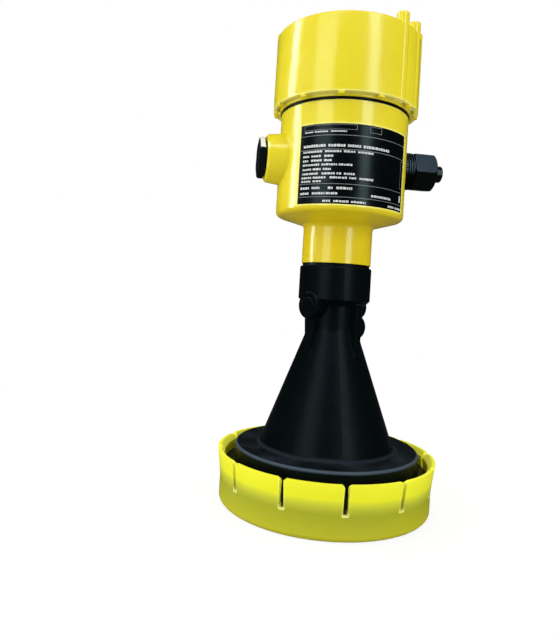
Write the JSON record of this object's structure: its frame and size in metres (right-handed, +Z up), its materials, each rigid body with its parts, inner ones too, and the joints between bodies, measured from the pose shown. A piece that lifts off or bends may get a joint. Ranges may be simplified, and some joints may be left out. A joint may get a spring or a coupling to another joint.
{
  "type": "radar level transmitter",
  "caption": "Radar level transmitter: plastic housing with tall screw lid, blanking plug and cable gland, on a plastic horn antenna with a slotted protective cap.",
  "frame": {"origin": "centre of the protective cap's underside", "axes": "+Z up along the antenna's axis, the label faces -Y, the blanking plug points to -X, the cable gland to +X"},
  "size_m": [0.1172, 0.1172, 0.2571],
  "materials": {
    "cap_yellow": "satin translucent yellow plastic",
    "lens_black": "satin",
    "antenna_black": "satin moulded plastic",
    "seal_rubber": "matt",
    "bearing_white": "matt",
    "spring_steel": "bright",
    "brass": "bright",
    "module_metal": "satin",
    "housing_yellow": "gloss moulded plastic",
    "label_black": "satin film",
    "plug_black": "satin",
    "sticker_white": "matt film",
    "module_grey": "matt",
    "board_green": "satin",
    "terminal_green": "satin"
  },
  "bodies": {
    "antenna": {"horn_antenna": "antenna_black", "antenna_lens": "lens_black", "lens_seal": "seal_rubber", "boss_plugs": "antenna_black", "neck_seal": "seal_rubber", "retaining_ring": "spring_steel", "waveguide_tube": "brass", "feed_cone": "bearing_white", "microwave_module": "module_metal"},
    "cap": {"protective_cap": "cap_yellow"},
    "housing": {"housing": "housing_yellow", "label_plate": "label_black", "bearing_sleeve": "bearing_white", "gland_washer": "seal_rubber", "gland_body": "plug_black", "module_base": "module_grey", "module_case": "module_grey", "main_board": "board_green", "board_components": "module_grey", "module_screws": "spring_steel", "terminal_block": "terminal_green", "terminal_screws": "spring_steel", "contact_carrier": "plug_black", "contact_pins": "brass"},
    "lid_ring": {"lid_seal": "seal_rubber"},
    "lid": {"lid": "housing_yellow"},
    "plug_ring": {"plug_gasket": "seal_rubber"},
    "plug": {"blanking_plug": "plug_black", "plug_sticker": "sticker_white"},
    "gland_seal": {"gland_insert": "seal_rubber"},
    "gland_nut": {"gland_nut": "plug_black"},
    "dust_plug": {"dust_plug": "plug_black"}
  },
  "joints": [
    {"name": "cap_pull", "type": "slide", "parent": "antenna", "child": "cap", "axis": [0, 0, -1], "range_m": [0, 0.03]},
    {"name": "housing_turn", "type": "hinge", "parent": "antenna", "child": "housing", "pos_m": [0, 0, 0.14], "axis": [0, 0, 1], "range_deg": [-165, 165]},
    {"name": "lid_lift", "type": "slide", "parent": "housing", "child": "lid_ring", "axis": [0, 0, 1], "range_m": [0, 0.012]},
    {"name": "lid_turn", "type": "hinge", "parent": "lid_ring", "child": "lid", "pos_m": [0, 0, 0.23], "axis": [0, 0, 1], "range_deg": [0, 1080]},
    {"name": "plug_travel", "type": "slide", "parent": "housing", "child": "plug_ring", "axis": [-1, 0, 0], "range_m": [0, 0.009]},
    {"name": "plug_turn", "type": "hinge", "parent": "plug_ring", "child": "plug", "pos_m": [-0.045, 0, 0.184], "axis": [-1, 0, 0], "range_deg": [0, 2160]},
    {"name": "gland_travel", "type": "slide", "parent": "housing", "child": "gland_seal", "axis": [1, 0, 0], "range_m": [0, 0.006]},
    {"name": "gland_nut_turn", "type": "hinge", "parent": "gland_seal", "child": "gland_nut", "pos_m": [0.05, 0, 0.184], "axis": [1, 0, 0], "range_deg": [0, 1440]},
    {"name": "dust_plug_pull", "type": "slide", "parent": "gland_seal", "child": "dust_plug", "axis": [1, 0, 0], "range_m": [0, 0.02]}
  ],
  "couplings": [
    {"joint": "lid_lift", "follows": "lid_turn", "m_per_rad": 0.00063662},
    {"joint": "plug_travel", "follows": "plug_turn", "m_per_rad": 0.00023873},
    {"joint": "gland_travel", "follows": "gland_nut_turn", "m_per_rad": 0.00023873}
  ]
}
